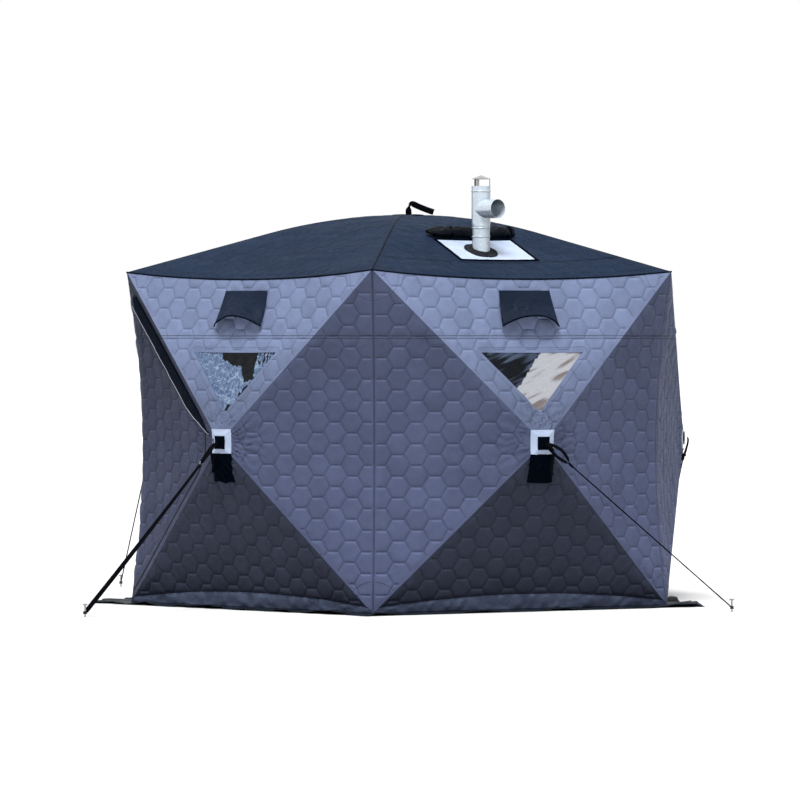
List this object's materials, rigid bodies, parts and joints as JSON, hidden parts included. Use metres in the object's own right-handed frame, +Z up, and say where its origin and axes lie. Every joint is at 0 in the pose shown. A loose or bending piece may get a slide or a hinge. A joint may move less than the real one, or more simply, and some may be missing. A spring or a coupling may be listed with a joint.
{
  "type": "ice fishing hut",
  "caption": "Pop-up ice fishing hut with quilted hub walls, arched roof, film windows, vent hoods, zip door, ground skirt, guy lines and a stove jack with a flue.",
  "frame": {"origin": "middle of the hut's plan on the ground, which is the bottom centre of its bounding box", "axes": "+Z up; -Y towards the corner between the two front walls; +X towards the right-hand side"},
  "size_m": [3.7512, 4.034, 2.3358],
  "materials": {
    "quilt_upper": "matt quilted polyester",
    "quilt_side": "matt quilted polyester",
    "quilt_lower": "matt quilted polyester",
    "quilt_roof": "matt quilted polyester",
    "black_fabric": "coated woven polyester",
    "clear_film": "clear flexible film",
    "mesh": "fine insect mesh",
    "skirt_fabric": "coated woven polyester",
    "fibreglass": "drawn rod",
    "black_plastic": "moulded",
    "pale_patch": "coated reinforcement",
    "webbing": "woven strap",
    "rope": "braided cord",
    "peg_steel": "zinc plated",
    "fireproof_sheet": "silicone coated glass cloth",
    "black_felt": "heatproof felt",
    "galvanised": "galvanised sheet"
  },
  "bodies": {
    "root": {"wall_front_right_upper": "quilt_upper", "wall_front_right_lower": "quilt_lower", "wall_front_right_left": "quilt_side", "wall_front_right_right": "quilt_side", "roof_front_right": "quilt_roof", "wall_right_side_upper": "quilt_upper", "wall_right_side_lower": "quilt_lower", "wall_right_side_left": "quilt_side", "wall_right_side_right": "quilt_side", "roof_right_side": "quilt_roof", "wall_rear_upper": "quilt_upper", "wall_rear_lower": "quilt_lower", "wall_rear_left": "quilt_side", "wall_rear_right": "quilt_side", "roof_rear": "quilt_roof", "wall_left_side_upper": "quilt_upper", "wall_left_side_lower": "quilt_lower", "wall_left_side_left": "quilt_side", "wall_left_side_right": "quilt_side", "roof_left_side": "quilt_roof", "wall_front_left_upper": "quilt_upper", "wall_front_left_lower": "quilt_lower", "wall_front_left_right": "quilt_side", "roof_front_left": "quilt_roof", "door_surround": "quilt_side", "door_panel": "quilt_side", "door_zip": "black_fabric", "door_zip_flap": "black_fabric", "window_panes": "clear_film", "vent_screens": "mesh", "vent_hoods": "black_fabric", "ground_skirt": "skirt_fabric", "wall_poles": "fibreglass", "roof_poles": "fibreglass", "wall_hubs": "black_plastic", "roof_hub": "black_plastic", "hub_patches": "pale_patch", "hub_pads": "black_fabric", "hub_pockets": "black_fabric", "pull_straps": "webbing", "guy_ropes": "rope", "guy_webbing": "webbing", "pegs": "peg_steel", "roof_patch": "black_fabric", "apex_strap": "webbing", "stove_jack": "fireproof_sheet", "stove_collar": "black_felt", "jack_cover_roll": "black_fabric", "flue_pipe": "galvanised", "flue_tee": "galvanised", "flue_cap": "galvanised"}
  },
  "joints": []
}
